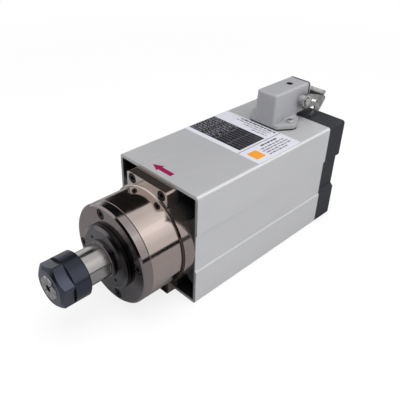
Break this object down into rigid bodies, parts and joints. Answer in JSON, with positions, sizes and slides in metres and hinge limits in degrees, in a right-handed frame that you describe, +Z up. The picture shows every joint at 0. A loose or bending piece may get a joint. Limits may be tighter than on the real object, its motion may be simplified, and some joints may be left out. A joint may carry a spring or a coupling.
{
  "type": "motor spindle",
  "caption": "Air-cooled square-bodied electric motor spindle with a collet nose, ducted housing, rear fan cover and a top power connector.",
  "frame": {"origin": "centre of the base mounting holes on the housing's bottom face, halfway along the extrusion", "axes": "+Z up from the base, +Y along the spindle axis from the collet nose towards the fan cover, +X to the right seen from the nose side looking along +Y"},
  "size_m": [0.103, 0.3411, 0.1562],
  "materials": {
    "housing_aluminium": "satin silver anodised, faint extrusion grain",
    "nose_black_nickel": "polished black nickel",
    "black_oxide_screws": "black oxide",
    "bearing_steel": "ground bearing steel",
    "lamination_steel": "stacked electrical steel, varnished",
    "winding_enamel": "enamelled copper, varnished",
    "cast_aluminium": "as cast, machined seats",
    "cover_plastic": "black moulded plastic, fine grain",
    "fan_plastic": "black moulded nylon",
    "rubber_seal": "black rubber",
    "connector_grey": "grey powder coat on die-cast body",
    "bright_steel": "bright zinc",
    "insert_plastic": "dark glass-filled plastic",
    "contact_silver": "silver-plated brass",
    "wire_insulation": "insulated motor leads",
    "shaft_steel": "ground and polished steel",
    "cap_black": "black satin oxide",
    "collet_steel": "ground spring steel",
    "nut_blued": "blue-black oxide",
    "stainless_lever": "stamped stainless steel"
  },
  "bodies": {
    "root": {"housing_extrusion": "housing_aluminium", "front_bell": "nose_black_nickel", "bell_screws": "black_oxide_screws", "nose_plate": "nose_black_nickel", "nose_plate_screws": "black_oxide_screws", "front_outer_races": "bearing_steel", "outer_race_spacer": "bearing_steel", "stator_core": "lamination_steel", "stator_winding": "winding_enamel", "rear_bracket": "cast_aluminium", "rear_outer_race": "bearing_steel", "preload_spring": "bearing_steel", "fan_cover": "cover_plastic", "cover_screws": "black_oxide_screws", "connector_gasket": "rubber_seal", "connector_housing": "connector_grey", "connector_screws": "bright_steel", "contact_insert": "insert_plastic", "contact_pins": "contact_silver", "insert_screw": "black_oxide_screws", "mouth_seal": "rubber_seal", "lever_pins": "bright_steel", "lead_wires": "wire_insulation"},
    "rotor": {"spindle_shaft": "shaft_steel", "labyrinth_cap": "cap_black", "cap_sleeve": "bearing_steel", "front_inner_races": "bearing_steel", "inner_race_spacer": "bearing_steel", "rotor_core": "lamination_steel", "rotor_end_rings": "cast_aluminium", "rear_inner_race": "bearing_steel", "fan_spacer": "bearing_steel", "cooling_fan": "fan_plastic", "fan_circlip": "bearing_steel"},
    "front_cages": {"front_ball_cages": "bearing_steel"},
    "rear_cage": {"rear_ball_cage": "bearing_steel"},
    "collet": {"er_collet": "collet_steel"},
    "nut": {"collet_nut": "nut_blued"},
    "lever": {"locking_lever": "stainless_lever"}
  },
  "joints": [
    {"name": "rotor_spin", "type": "hinge", "parent": "root", "child": "rotor", "pos_m": [0, 0, 0.06], "axis": [0, 1, 0], "continuous": true},
    {"name": "front_cage_spin", "type": "hinge", "parent": "root", "child": "front_cages", "pos_m": [0, 0, 0.06], "axis": [0, 1, 0], "continuous": true},
    {"name": "rear_cage_spin", "type": "hinge", "parent": "root", "child": "rear_cage", "pos_m": [0, 0, 0.06], "axis": [0, 1, 0], "continuous": true},
    {"name": "collet_slide", "type": "slide", "parent": "rotor", "child": "collet", "axis": [0, -1, 0], "range_m": [0, 0.0045]},
    {"name": "nut_turn", "type": "hinge", "parent": "collet", "child": "nut", "pos_m": [0, -0.198, 0.06], "axis": [0, -1, 0], "range_deg": [0, 1080]},
    {"name": "lever_swing", "type": "hinge", "parent": "root", "child": "lever", "pos_m": [0, 0.0925, 0.1408], "axis": [1, 0, 0], "range_deg": [0, 105]}
  ],
  "couplings": [
    {"joint": "front_cage_spin", "follows": "rotor_spin", "ratio": 0.421},
    {"joint": "rear_cage_spin", "follows": "rotor_spin", "ratio": 0.398},
    {"joint": "nut_turn", "follows": "collet_slide", "rad_per_m": 4188.8}
  ]
}
